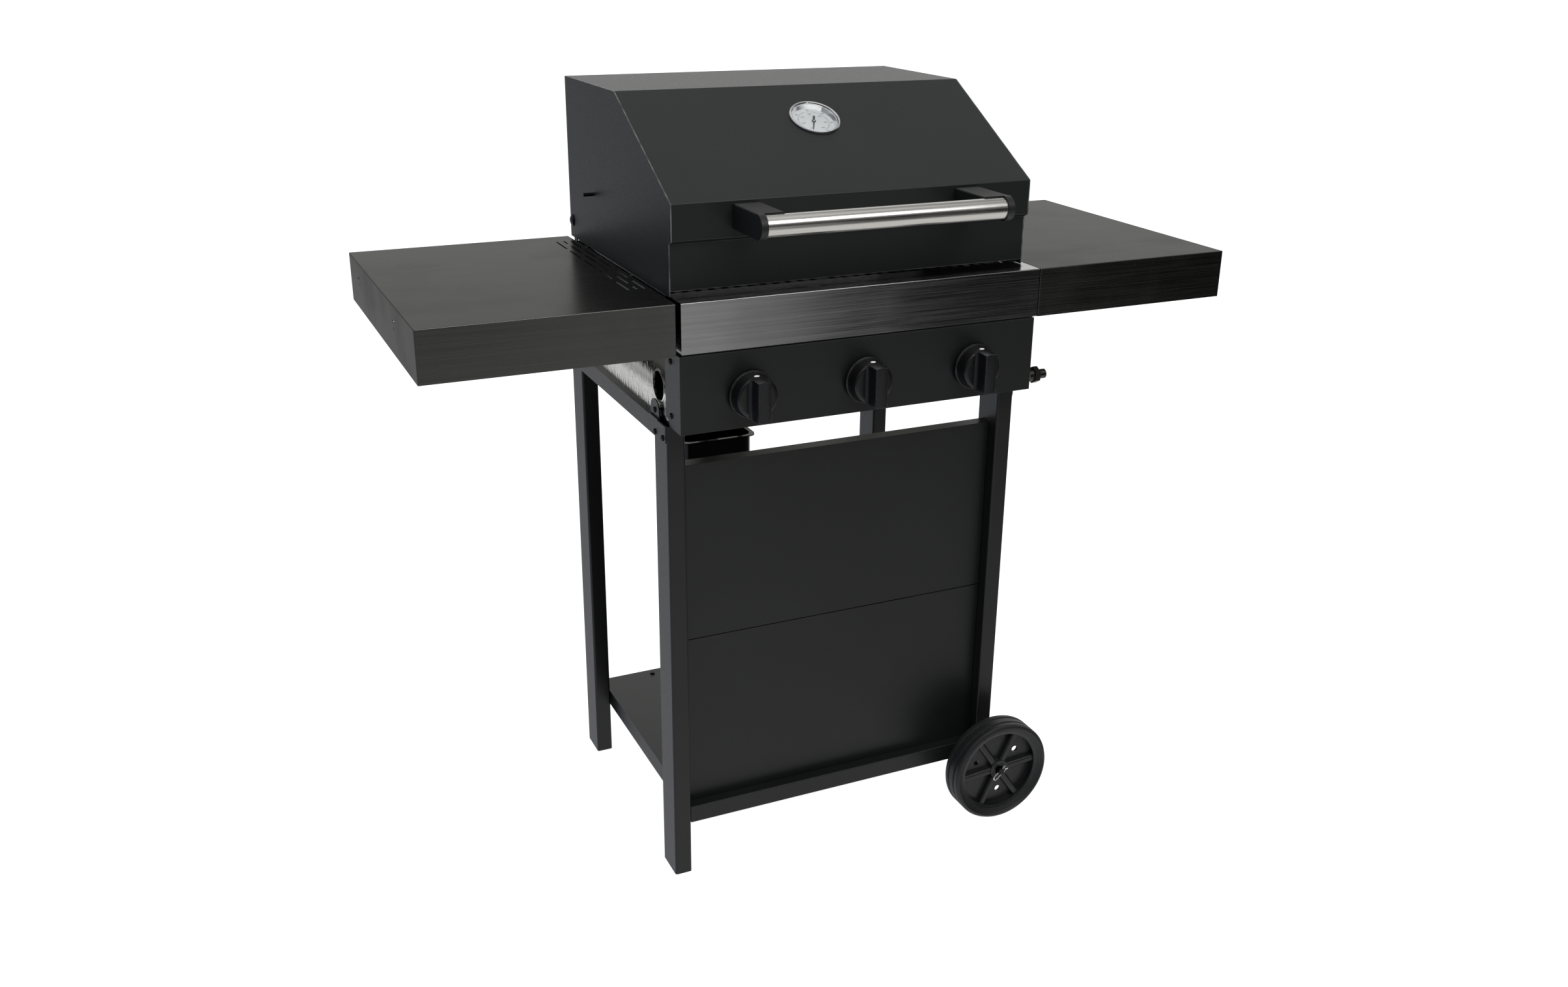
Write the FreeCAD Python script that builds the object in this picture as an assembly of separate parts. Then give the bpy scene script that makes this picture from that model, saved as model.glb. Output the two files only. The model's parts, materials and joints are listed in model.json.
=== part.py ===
import FreeCAD, Part
import math
import os

# Cart gas barbecue with a folding-sheet hood, two side shelves and two wheels.
# Millimetres. X runs to the right, Y to the back, Z up. Shapes are drawn with y = 0 at the
# front face of the fascia; save() moves them so that the origin is on the floor, halfway
# across and halfway from the front of the handle to the back of the rear wheel.

V = FreeCAD.Vector

# ---- driving dimensions -------------------------------------------------------
SHEET = 1.0                 # thickness of the folded covers
BODY_HALF = 262.5           # half the width over the legs
FRAME_MID_Y = 250.0         # middle of the leg frame, front to back

LEG_W = 25.0                # leg tube, across
LEG_D = 50.0                # leg tube, front to back
LEG_WALL = 1.5
LEG_FRONT = 40.0            # front face of the front legs
LEG_TOP = 686.0
RIGHT_LEG_FOOT = 58.0       # the wheeled legs stop short of the floor
RAIL_H = 24.0

SHELF_BOTTOM_Z = 106.8      # top face of the bottom shelf
SHELF_SKIRT = 25.6
PANEL_FRONT = 60.5          # front face of the two front panels
PANEL_DEPTH = 21.0
PANEL_SPLIT = 364.6
PANEL_TOP = 622.4

WHEEL_R = 80.0
WHEEL_X = 249.0
AXLE_R = 5.0
AXLE_END = -20.5            # front end of the axle
WHEEL_MID_Y = -3.0          # middle of the front wheel's tread
TREAD_HALF = 19.0
RIM_R = 66.5                # where the tyre meets the wheel body

FIREBOX_HALF = 256.0
FIREBOX_FRONT = 53.0
FIREBOX_BACK = 447.0
FIREBOX_TOP = 850.0
WALL = 1.2
BURNER_Z = 733.0
BURNER_X = (-164.6, 0.0, 164.6)
BURNER_R = 12.5
BURNER_REAR = 425.0

TOP_Z = 856.7               # shelf and fascia tops
TOP_H = 66.5                # height of the shelf and fascia fronts
LEFT_SHELF_IN = 262.0
RIGHT_SHELF_IN = 266.2
SIDE_SHELF_OUT = 578.6
SIDE_SHELF_BACK = 452.6
FASCIA_HALF = 260.2
FASCIA_MID_X = 4.6

PANEL_HALF = 259.5          # control panel
CONTROL_FRONT = -3.0
CONTROL_BACK = 39.0
CONTROL_BOTTOM = 687.9
MANIFOLD_Y = 11.0
MANIFOLD_Z = 703.0
MANIFOLD_R = 8.6

HOOD_HALF = 257.3
HOOD_BACK = 452.3
HOOD_TOP = 1085.1
HOOD_FOLD_Y = 231.3
BAND_Y = 26.8
BAND_TOP = 972.6
BAND_BOTTOM = 926.5
LOWER_Y = 35.3
HOOD_BOTTOM = 863.6         # lower edge of the hood's front
HOOD_SIDE_BOTTOM = 857.1
HOOD_VENT = 896.0           # lower edge of the hood's back sheet
HINGE_Y = 441.0
HINGE_Z = 881.4
HINGE_R = 3.0

HANDLE_R = 14.0
HANDLE_Y = -48.0
HANDLE_Z = 953.0
HANDLE_HALF = 167.0
ARM_HALF_H = 16.0           # half the height of the handle arms, and their end radius

RACK_PIN_Y = 335.0
RACK_PIN_Z = 936.0
RACK_Z = 921.0

GAUGE_R = 35.2
GAUGE_CUP_R = 31.0          # the part of the case let into the hood
GAUGE_Y = 163.8
DIAL_DEPTH = -6.0           # below the hood's face
NEEDLE_REST = -22.4         # degrees from straight down the slope

KNOB_FRONT = -50.0
KNOB_R = 28.6

FRONT = HANDLE_Y - ARM_HALF_H
REAR = 2 * FRAME_MID_Y - WHEEL_MID_Y + TREAD_HALF
MIDDLE_Y = (FRONT + REAR) / 2


# ---- small shape helpers ------------------------------------------------------
def block(x, y, z):
    """Box from three (low, high) pairs."""
    return Part.makeBox(x[1] - x[0], y[1] - y[0], z[1] - z[0], V(x[0], y[0], z[0]))


def rod(start, end, radius):
    """Round bar between two points."""
    line = V(*end) - V(*start)
    return Part.makeCylinder(radius, line.Length, V(*start), line)


def pipe(start, end, outer, inner):
    """Round tube between two points."""
    return rod(start, end, outer).cut(rod(start, end, inner))


def join(shapes):
    """One solid out of touching or overlapping ones."""
    return shapes[0].fuse(list(shapes[1:])).removeSplitter()


def mirrored_x(shape):
    return shape.mirror(V(0, 0, 0), V(1, 0, 0))


def mirrored_y(shape):
    return shape.mirror(V(0, FRAME_MID_Y, 0), V(0, 1, 0))


def both_sides(shape):
    return [shape, mirrored_x(shape)]


def edges_along(shape, direction, wanted=None):
    """Straight edges parallel to a direction, optionally chosen by their middle point."""
    found = []
    for edge in shape.Edges:
        if len(edge.Vertexes) != 2 or not isinstance(edge.Curve, Part.Line):
            continue
        along = edge.Vertexes[1].Point - edge.Vertexes[0].Point
        if along.cross(V(*direction)).Length < 1e-6 * along.Length:
            if wanted is None or wanted(edge.CenterOfMass):
                found.append(edge)
    return found


def rounded(shape, radius, direction, wanted=None):
    return shape.makeFillet(radius, edges_along(shape, direction, wanted))


def save(name, shapes):
    """Write one node, moved to the final origin: a solid, or several separate ones."""
    shapes = Part.makeCompound(shapes) if isinstance(shapes, list) else shapes.copy()
    shapes.translate(V(0, -MIDDLE_Y, 0))
    shapes.exportStep("parts/" + name + ".step")
    print(name, "solids", len(shapes.Solids), "valid", shapes.isValid())


# ---- folded sheet -------------------------------------------------------------
def corner(before, here, after, radius):
    """Arc that rounds one corner of a path: its start, middle and end points."""
    a = (before - here).normalize()
    b = (after - here).normalize()
    half = a.getAngle(b) / 2
    reach = radius / math.tan(half)
    middle = (a + b).normalize() * (radius / math.sin(half) - radius)
    return here + a * reach, here + middle, here + b * reach


def path_edges(points, radii):
    """Lines and arcs through a path, with each inner corner rounded."""
    edges = []
    last = points[0]
    for i in range(1, len(points) - 1):
        start, middle, end = corner(points[i - 1], points[i], points[i + 1], radii[i - 1])
        edges.append(Part.makeLine(last, start))
        edges.append(Part.Arc(start, middle, end).toShape())
        last = end
    edges.append(Part.makeLine(last, points[-1]))
    return edges


def bent_sheet(profile, thick, bend, half_width):
    """Sheet folded along a (y, z) path, its thickness on the path's left, spanning X."""
    outer = [V(-half_width, y, z) for y, z in profile]
    normals = []
    for a, b in zip(outer, outer[1:]):
        along = (b - a).normalize()
        normals.append(V(0, -along.z, along.y))
    inner = [outer[0] + normals[0] * thick]
    turns = []
    for i in range(1, len(outer) - 1):
        mitre = (normals[i - 1] + normals[i]).normalize()
        inner.append(outer[i] + mitre * (thick / mitre.dot(normals[i])))
        turns.append(normals[i - 1].cross(normals[i]).x > 0)
    inner.append(outer[-1] + normals[-1] * thick)
    outer_radii = [bend + thick if left else bend for left in turns]
    inner_radii = [bend if left else bend + thick for left in turns]
    edges = path_edges(outer, outer_radii)
    edges.append(Part.makeLine(outer[-1], inner[-1]))
    edges += path_edges(inner[::-1], inner_radii[::-1])
    edges.append(Part.makeLine(inner[0], outer[0]))
    face = Part.Face(Part.Wire(Part.__sortEdges__(edges)))
    return face.extrude(V(2 * half_width, 0, 0))


def plate_yz(profile, x, bend):
    """Flat plate cut to a (y, z) outline with rounded corners, between two x values."""
    points = [V(x[0], y, z) for y, z in profile]
    start = (points[0] + points[-1]) * 0.5
    loop = [start] + points + [start]
    edges = path_edges(loop, [bend] * len(points))
    face = Part.Face(Part.Wire(Part.__sortEdges__(edges)))
    return face.extrude(V(x[1] - x[0], 0, 0))


def hollow_box(x, y, z, wall, opening):
    """Thin box with the sides named in opening ('-z', '+y' ...) left out."""
    low = [x[0] + wall, y[0] + wall, z[0] + wall]
    high = [x[1] - wall, y[1] - wall, z[1] - wall]
    for side in opening:
        axis = "xyz".index(side[1])
        if side[0] == "-":
            low[axis] -= 2 * wall
        else:
            high[axis] += 2 * wall
    inside = block((low[0], high[0]), (low[1], high[1]), (low[2], high[2]))
    return block(x, y, z).cut(inside)


def turned(profile, centre):
    """Solid of revolution about a Y axis through centre, from (radius, y) points."""
    points = [V(centre[0] + r, y, centre[1]) for r, y in profile]
    face = Part.Face(Part.makePolygon(points + [points[0]]))
    return face.revolve(V(centre[0], 0, centre[1]), V(0, 1, 0), 360)


# ---- screws -------------------------------------------------------------------
def screw(point, outward):
    """Pan-head screw: head on the surface at point, shank going in."""
    head = Part.makeCylinder(4.0, 2.2, V(*point), V(*outward))
    rim = [edge for edge in head.Edges if edge.BoundBox.Center.distanceToPoint(V(*point)) > 2.0]
    head = head.makeFillet(1.2, [edge for edge in rim if isinstance(edge.Curve, Part.Circle)])
    shank = Part.makeCylinder(2.0, 8.0, V(*point), V(*outward) * -1)
    slot = Part.makeBox(5.0, 1.0, 1.4, V(-2.5, -0.5, 1.2))
    cross = slot.fuse(Part.makeBox(1.0, 5.0, 1.4, V(-0.5, -2.5, 1.2)))
    turn = FreeCAD.Rotation(V(0, 0, 1), V(*outward))
    cross.Placement = FreeCAD.Placement(V(*point), turn)
    return head.fuse(shank).removeSplitter().cut(cross)


def pierced(shape, points, outward):
    """The shape with a clearance hole for every screw in the list."""
    for point in points:
        shape = shape.cut(Part.makeCylinder(2.05, 8.2, V(*point) + V(*outward) * 0.1, V(*outward) * -1))
        shape = shape.cut(Part.makeCylinder(2.05, 0.2, V(*point), V(*outward)))
    return shape


def hexagon(point, across_flats, length, axis):
    """Hexagonal prism from point along axis."""
    radius = across_flats / math.sqrt(3)
    corners = [V(radius * math.cos(math.radians(60 * i)), radius * math.sin(math.radians(60 * i)), 0)
               for i in range(7)]
    prism = Part.Face(Part.makePolygon(corners)).extrude(V(0, 0, length))
    prism.Placement = FreeCAD.Placement(V(*point), FreeCAD.Rotation(V(0, 0, 1), V(*axis)))
    return prism


# ---- legs, side rails and feet ------------------------------------------------
RAIL_FACE = -BODY_HALF - 1.5
RAIL_SCREWS = [(RAIL_FACE, y, 668.0) for y in (53.0, 82.0, 418.0, 447.0)]
LUG_SCREWS = [(-261.5, y, 696.0) for y in (88.0, 412.0)]
RIGHT_RAIL_SCREWS = [(-x, y, z) for x, y, z in RAIL_SCREWS]
RIGHT_LUG_SCREWS = [(-x, y, z) for x, y, z in LUG_SCREWS]
AXLE_BORE = rod((WHEEL_X, -30, WHEEL_R), (WHEEL_X, 530, WHEEL_R), AXLE_R + 0.05)


def leg(bottom):
    """Front left leg tube standing on a given height."""
    x = (-BODY_HALF, -BODY_HALF + LEG_W)
    y = (LEG_FRONT, LEG_FRONT + LEG_D)
    tube = rounded(block(x, y, (bottom, LEG_TOP)), 3.0, (0, 0, 1))
    core = block((x[0] + LEG_WALL, x[1] - LEG_WALL), (y[0] + LEG_WALL, y[1] - LEG_WALL),
                 (bottom - 1, LEG_TOP + 1))
    return tube.cut(rounded(core, 1.5, (0, 0, 1)))


def foot(bottom):
    """Plastic plug in the lower end of the front left leg."""
    x = (-BODY_HALF, -BODY_HALF + LEG_W)
    y = (LEG_FRONT, LEG_FRONT + LEG_D)
    cap = rounded(block(x, y, (bottom - 2.0, bottom)), 3.0, (0, 0, 1))
    core = block((x[0] + LEG_WALL, x[1] - LEG_WALL), (y[0] + LEG_WALL, y[1] - LEG_WALL),
                 (bottom, bottom + 12.0))
    return join([cap, rounded(core, 1.5, (0, 0, 1))])


def side_rail():
    """Left rail: a folded strip lapped over both legs, with a lug for the firebox at each end."""
    web = block((RAIL_FACE, RAIL_FACE + 1.5), (43.0, 457.0), (LEG_TOP - RAIL_H, LEG_TOP))
    web = rounded(web, 5.0, (1, 0, 0), lambda p: p.z < LEG_TOP - RAIL_H + 1)
    flange = block((-BODY_HALF, -240.0), (90.2, 409.8), (LEG_TOP - 1.5, LEG_TOP))
    pieces = [web, flange]
    for y in (88.0, 412.0):
        pieces.append(block((RAIL_FACE, -260.0), (y - 16, y + 16), (LEG_TOP, LEG_TOP + 1.5)))
        pieces.append(block((-261.5, -260.0), (y - 16, y + 16), (LEG_TOP, 695.0)))
        pieces.append(rod((-261.5, y, 695.0), (-260.0, y, 695.0), 16.0))
    rail = join(pieces)
    below = block((-262.4, -259.0), (40.0, 460.0), (670.0, LEG_TOP))
    above_flange = block((-262.4, -259.0), (90.2, 409.8), (LEG_TOP - 1.5, LEG_TOP))
    return rail.cut(below.cut(above_flange))


def build_frame():
    left = pierced(leg(2.0), RAIL_SCREWS[:2], (-1, 0, 0))
    short = mirrored_x(pierced(leg(RIGHT_LEG_FOOT), RAIL_SCREWS[:2], (-1, 0, 0))).cut(AXLE_BORE)
    rail = pierced(pierced(side_rail(), RAIL_SCREWS, (-1, 0, 0)), LUG_SCREWS, (-1, 0, 0))
    save("front_left_leg", left)
    save("rear_left_leg", mirrored_y(left))
    save("front_right_leg", short)
    save("rear_right_leg", mirrored_y(short))
    save("side_rail_left", rail)
    save("side_rail_right", mirrored_x(rail))
    low = foot(2.0)
    high = mirrored_x(foot(RIGHT_LEG_FOOT))
    save("leg_end_plugs", [low, mirrored_y(low), high, mirrored_y(high)])


# ---- bottom shelf and front panels --------------------------------------------
SHELF_SCREWS = [(-152.0, 443.0, SHELF_BOTTOM_Z), (152.0, 443.0, SHELF_BOTTOM_Z)]


def front_panel(bottom, top):
    """Shallow pan, open at the back, between the front legs."""
    pan = hollow_box((-236.8, 236.8), (PANEL_FRONT, PANEL_FRONT + PANEL_DEPTH), (bottom, top),
                     SHEET, ["+y"])
    return rounded(pan, 0.9, (1, 0, 0), lambda p: p.y < PANEL_FRONT + 0.1)


def build_cart():
    shelf = hollow_box((-236.5, 236.5), (42.6, 457.4), (SHELF_BOTTOM_Z - SHELF_SKIRT, SHELF_BOTTOM_Z),
                       WALL, ["-z"])
    shelf = rounded(shelf, 1.1, (1, 0, 0), lambda p: p.z > SHELF_BOTTOM_Z - 0.1)
    save("bottom_shelf", pierced(shelf, SHELF_SCREWS, (0, 0, 1)))
    save("front_panel_lower", front_panel(SHELF_BOTTOM_Z + 0.1, PANEL_SPLIT))
    save("front_panel_upper", front_panel(PANEL_SPLIT + 1.4, PANEL_TOP))


# ---- wheels -------------------------------------------------------------------
def tyre():
    """Front tyre: three tread ribs parted by two grooves, and a dished side."""
    half = [(RIM_R, 13.5), (72.0, 16.5), (75.2, TREAD_HALF), (78.4, TREAD_HALF - 1.2),
            (WHEEL_R, TREAD_HALF - 4.0), (WHEEL_R, 9.2), (77.4, 8.0), (77.4, 6.2), (WHEEL_R, 5.0)]
    profile = [(r, WHEEL_MID_Y - w) for r, w in half] + [(r, WHEEL_MID_Y + w) for r, w in half[::-1]]
    return turned(profile, (WHEEL_X, WHEEL_R))


def rim():
    """Front wheel body: outer ring, thin web, hub and six ribs on each face."""
    y = WHEEL_MID_Y
    centre = (WHEEL_X, WHEEL_R)
    ring = turned([(62.0, y - 12), (RIM_R - 0.1, y - 13.4), (RIM_R - 0.1, y + 13.4), (62.0, y + 12)],
                  centre)
    web = turned([(12.0, y - 1.8), (62.5, y - 1.8), (62.5, y + 1.8), (12.0, y + 1.8)], centre)
    hub = turned([(7.5, y - 7.5), (7.5, y - 11.0), (15.0, y - 11.0), (16.5, y + 26.5), (7.5, y + 26.5)],
                 centre)
    pieces = [ring, web, hub]
    for i in range(6):
        bar = block((13.0, 62.5), (y - 9.5, y + 9.5), (-5.6, 5.6))
        bar = rounded(bar, 3.6, (1, 0, 0))
        bar.rotate(V(0, 0, 0), V(0, 1, 0), -4.5 - 60 * i)
        bar.translate(V(WHEEL_X, 0, WHEEL_R))
        pieces.append(bar)
    pieces.append(rod((WHEEL_X, y - 7.5, WHEEL_R), (WHEEL_X, y + 26.5, WHEEL_R), 8.0))
    wheel = join(pieces)
    for i in range(3):
        angle = math.radians(37.6 + 120 * i)
        x = WHEEL_X + 40 * math.cos(angle)
        z = WHEEL_R + 40 * math.sin(angle)
        wheel = wheel.cut(rod((x, y - 20, z), (x, y + 20, z), 4.8))
    return wheel.cut(rod((WHEEL_X, -30, WHEEL_R), (WHEEL_X, 40, WHEEL_R), AXLE_R + 0.08))


CLIP_Y = -17.2
CLIP_TURN = -141.0


def clip():
    """Spring clip: a straight leg through the axle and a bowed leg round it."""
    def at(along, across):
        a = math.radians(CLIP_TURN)
        return (WHEEL_X + along * math.cos(a) - across * math.sin(a), CLIP_Y,
                WHEEL_R + along * math.sin(a) + across * math.cos(a))
    stops = [at(-11, 0), at(11, 0), at(14.5, 0.8), at(16.8, 3.8), at(15.4, 6.9), at(11.5, 7.4),
             at(6.5, 6.2), at(2.5, 6.5), at(-3, 6.6), at(-7, 5.4), at(-11, 7.6)]
    wire = [rod(a, b, 0.9) for a, b in zip(stops, stops[1:])]
    wire += [Part.makeSphere(0.9, V(*p)) for p in stops[1:-1]]
    return join(wire)


def build_wheels():
    wheel_tyre = tyre()
    wheel_rim = rim()
    save("front_wheel_tyre", wheel_tyre)
    save("front_wheel_rim", wheel_rim)
    save("rear_wheel_tyre", mirrored_y(wheel_tyre))
    save("rear_wheel_rim", mirrored_y(wheel_rim))
    axle = rod((WHEEL_X, AXLE_END, WHEEL_R), (WHEEL_X, 2 * FRAME_MID_Y - AXLE_END, WHEEL_R), AXLE_R)
    a = math.radians(CLIP_TURN)
    reach = V(math.cos(a), 0, math.sin(a)) * 8
    for y in (CLIP_Y, 2 * FRAME_MID_Y - CLIP_Y):
        middle = V(WHEEL_X, y, WHEEL_R)
        axle = axle.cut(rod(tuple(middle - reach), tuple(middle + reach), 1.0))
    save("wheel_axle", axle)
    sleeve = pipe((WHEEL_X, 24.0, WHEEL_R), (WHEEL_X, LEG_FRONT, WHEEL_R), 8.5, AXLE_R + 0.05)
    save("axle_spacers", [sleeve, mirrored_y(sleeve)])
    save("axle_clips", [clip(), mirrored_y(clip())])


# ---- firebox ------------------------------------------------------------------
FUNNEL_TOP = 700.0
OUTLET = (-141.0, 203.0)
INNER_X = FIREBOX_HALF - WALL
LIGHTING_HOLE = (83.0, 729.5)
LIGHTING_HOLE_R = 20.5


def side_wall():
    """Left firebox wall with a rolled-edge hole near the front."""
    wall = block((-FIREBOX_HALF, -INNER_X), (FIREBOX_FRONT, FIREBOX_BACK), (LEG_TOP, FIREBOX_TOP))
    y, z = LIGHTING_HOLE
    roll = Part.makeTorus(LIGHTING_HOLE_R + 0.4, 1.6, V(-FIREBOX_HALF - 0.2, y, z), V(1, 0, 0))
    wall = join([wall, roll]).cut(rod((-262, y, z), (-250, y, z), LIGHTING_HOLE_R - 0.6))
    inside = block((-INNER_X, -250.0), (0, 500), (600, 900))
    wall = wall.cut(inside)
    return pierced(wall, LUG_SCREWS, (-1, 0, 0))


def funnel_block(shift):
    """Solid under the sloping floor, moved up by shift."""
    top = [(-254.7, 54.3), (254.7, 54.3), (254.7, 445.7), (-254.7, 445.7)]
    low = [(OUTLET[0] - 20, OUTLET[1] - 20), (OUTLET[0] + 20, OUTLET[1] - 20),
           (OUTLET[0] + 20, OUTLET[1] + 20), (OUTLET[0] - 20, OUTLET[1] + 20)]
    wires = []
    for ring, z in ((low, 642.0), (top, FUNNEL_TOP)):
        points = [V(x, y, z + shift) for x, y in ring]
        wires.append(Part.makePolygon(points + [points[0]]))
    return Part.makeLoft(wires, True, True)


def firebox_floor():
    shell = funnel_block(0).cut(funnel_block(1.5))
    above = block((-300, 300), (0, 500), (FUNNEL_TOP, 720))
    spout = rod((OUTLET[0], OUTLET[1], 622), (OUTLET[0], OUTLET[1], 643), 14.0)
    drain = rod((OUTLET[0], OUTLET[1], 610), (OUTLET[0], OUTLET[1], 650), 12.8)
    return join([shell.cut(above), spout]).cut(drain)


def burner(x):
    """Burner tube: mixing throat at the front, rows of flame slots, flattened tail."""
    z = BURNER_Z
    body = rod((x, 62, z), (x, BURNER_REAR, z), BURNER_R)
    throat = rod((x, 44, z), (x, 66, z), 9.5)
    tail = block((x - 8, x + 8), (BURNER_REAR - 2, 441), (z - 1, z + 1))
    tube = join([body, throat, tail])
    tube = tube.cut(rod((x, 63.2, z), (x, BURNER_REAR - 1.2, z), BURNER_R - 1.2))
    tube = tube.cut(rod((x, 40, z), (x, 70, z), 8.3))
    for i in range(15):
        y = 92 + 22 * i
        tube = tube.cut(block((x - 20, x + 20), (y - 6, y + 6), (z + 3.5, z + 5)))
    for side in (-1, 1):
        tube = tube.cut(block((x + side * 9 - 4, x + side * 9 + 4), (47, 51), (z - 4, z + 4)))
    return tube


def flame_tamer(x):
    """Roof-shaped heat spreader over one burner."""
    half, rise, t = 44.0, 22.0, 1.2
    base = 765.2
    outline = [(-half, base), (0, base + rise), (half, base), (half, base + t), (0, base + rise + t),
               (-half, base + t)]
    points = [V(x + dx, 60.0, z) for dx, z in outline]
    return Part.Face(Part.makePolygon(points + [points[0]])).extrude(V(0, 380.0, 0))


def grate(x):
    """Cast cooking grate: a frame with long bars, made by slotting one plate."""
    z = (824.0, 838.0)
    plate = rounded(block(x, (57.5, 442.5), z), 6.0, (0, 0, 1))
    width = x[1] - x[0]
    count = 13
    pitch = (width - 9.0) / count
    slots = []
    for i in range(count):
        left = x[0] + 9.0 + pitch * i
        for y in ((67.0, 244.0), (252.0, 433.0)):
            slots.append(block((left, left + pitch - 9.0), y, (z[0] - 1, z[1] + 1)))
    return plate.cut(Part.makeCompound(slots))


def ledge(top, front):
    """Angle strip across the firebox that carries what rests on its upper face."""
    flat = block((-INNER_X, INNER_X), (front, front + 14.0), (top - WALL, top))
    web_y = front if front < FRAME_MID_Y else front + 14.0 - WALL
    web = block((-INNER_X, INNER_X), (web_y, web_y + WALL), (top - 10.0, top))
    return join([flat, web])


def electrode(x):
    """Ignition electrode: ceramic sleeve and bent wire on a small foot against the burner."""
    z = BURNER_Z
    sleeve = rod((x + 19, 66, z + 4), (x + 19, 104, z + 4), 3.0)
    wire = rod((x + 19, 58, z + 4), (x + 19, 114, z + 4), 1.0)
    foot_bar = block((x + 8, x + 18), (78, 90), (z - 0.5, z + 3.5))
    return join([sleeve, wire, foot_bar]).cut(rod((x, 50, z), (x, 130, z), BURNER_R))


def build_firebox():
    left = side_wall()
    save("firebox_left_wall", left)
    save("firebox_right_wall", mirrored_x(left))
    front = block((-INNER_X, INNER_X), (FIREBOX_FRONT, FIREBOX_FRONT + WALL), (LEG_TOP, FIREBOX_TOP))
    for x in BURNER_X:
        front = front.cut(rod((x, 50, BURNER_Z), (x, 60, BURNER_Z), 9.6))
        front = front.cut(rod((x + 19, 50, BURNER_Z + 4), (x + 19, 70, BURNER_Z + 4), 4.0))
    save("firebox_front_wall", front)
    save("firebox_back_wall", block((-INNER_X, INNER_X), (FIREBOX_BACK - WALL, FIREBOX_BACK),
                                    (LEG_TOP, FIREBOX_TOP)))
    save("firebox_floor", firebox_floor())
    save("burner_tubes", [burner(x) for x in BURNER_X])
    save("flame_tamers", [flame_tamer(x) for x in BURNER_X])
    save("firebox_ledges", [ledge(BURNER_Z - 1, 431.8), ledge(765.0, 54.2), ledge(765.0, 431.8),
                            ledge(823.6, 54.2), ledge(823.6, 431.8)])
    save("cooking_grate_left", grate((-251.5, -0.6)))
    save("cooking_grate_right", grate((0.6, 251.5)))
    save("ignition_electrodes", [electrode(x) for x in BURNER_X])


# ---- grease tray --------------------------------------------------------------
TRAY_X = (-193.0, -88.5)
TRAY_Y = (164.0, 242.0)
TRAY_TOP = 615.0
TRAY_DEPTH = 40.0


def grease_tray():
    """Deep drawn cup with a flat flared rim."""
    cup = rounded(block(TRAY_X, TRAY_Y, (TRAY_TOP - TRAY_DEPTH, TRAY_TOP)), 14.0, (0, 0, 1))
    low = TRAY_TOP - TRAY_DEPTH
    cup = cup.makeFillet(8.0, [e for e in cup.Edges if abs(e.BoundBox.ZMax - low) < 1e-3])
    rim_x = (TRAY_X[0] - 4, TRAY_X[1] + 4)
    rim_y = (TRAY_Y[0] - 4, TRAY_Y[1] + 4)
    lip = rounded(block(rim_x, rim_y, (TRAY_TOP - 1.5, TRAY_TOP)), 10.0, (0, 0, 1))
    hollow = rounded(block((TRAY_X[0] + 1, TRAY_X[1] - 1), (TRAY_Y[0] + 1, TRAY_Y[1] - 1),
                           (low + 1, TRAY_TOP + 1)), 13.0, (0, 0, 1))
    hollow = hollow.makeFillet(7.0, [e for e in hollow.Edges if abs(e.BoundBox.ZMax - low - 1) < 1e-3])
    return join([cup, lip]).cut(hollow)


def tray_hanger(side):
    """Short strip at the back of the tray, with a long shoe under one edge of its rim."""
    rim_edge = TRAY_X[0] - 4.4 if side < 0 else TRAY_X[1] + 4.4
    upright = sorted((rim_edge, rim_edge + side * 1.5))
    foot_x = sorted((rim_edge, rim_edge - side * 4.0))
    y = (TRAY_Y[0] + 10, TRAY_Y[1] - 10)
    strip = block(upright, (y[1] - 16, y[1]), (TRAY_TOP - 3.0, 690.0))
    rail = block(upright, y, (TRAY_TOP - 3.0, TRAY_TOP - 0.6))
    shoe = block(foot_x, y, (TRAY_TOP - 3.0, TRAY_TOP - 1.8))
    hanger = join([strip, rail, shoe]).cut(funnel_block(0))
    return hanger.cut(block((-300, 300), (0, 500), (675, 700)))


# ---- control panel, gas line and knobs ----------------------------------------
CONTROL_SCREWS = [(-PANEL_HALF, 31.0, z) for z in (704.0, 776.0)]


def control_panel():
    """Deep folded panel, open at the back, with a narrow lower return."""
    x = (-PANEL_HALF, PANEL_HALF)
    pan = hollow_box(x, (CONTROL_FRONT, CONTROL_BACK), (CONTROL_BOTTOM, 789.8), SHEET, ["+y"])
    pan = rounded(pan, 0.9, (0, 0, 1), lambda p: p.y < CONTROL_FRONT + 0.1)
    opening = block((-PANEL_HALF + 12, PANEL_HALF - 12), (12.0, CONTROL_BACK + 1), (687.0, 689.5))
    upper = block((-PANEL_HALF + 12, PANEL_HALF - 12), (12.0, CONTROL_BACK + 1), (788.0, 791.0))
    pan = pan.cut(opening).cut(upper)
    for knob_x in BURNER_X:
        pan = pan.cut(rod((knob_x, -6, BURNER_Z), (knob_x, 0, BURNER_Z), 7.0))
    pan = pan.cut(rod((250, MANIFOLD_Y, MANIFOLD_Z), (265, MANIFOLD_Y, MANIFOLD_Z), 9.4))
    pan = pierced(pan, CONTROL_SCREWS, (-1, 0, 0))
    return pierced(pan, [(-px, y, z) for px, y, z in CONTROL_SCREWS], (1, 0, 0))


def panel_bracket():
    """Left angle that ties the control panel's side to the firebox."""
    side = block((-258.5, -257.3), (24.0, 52.9), (696.0, 784.0))
    foot_plate = block((-258.5, -236.0), (51.7, 52.9), (696.0, 784.0))
    return pierced(join([side, foot_plate]), CONTROL_SCREWS, (-1, 0, 0))


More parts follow.
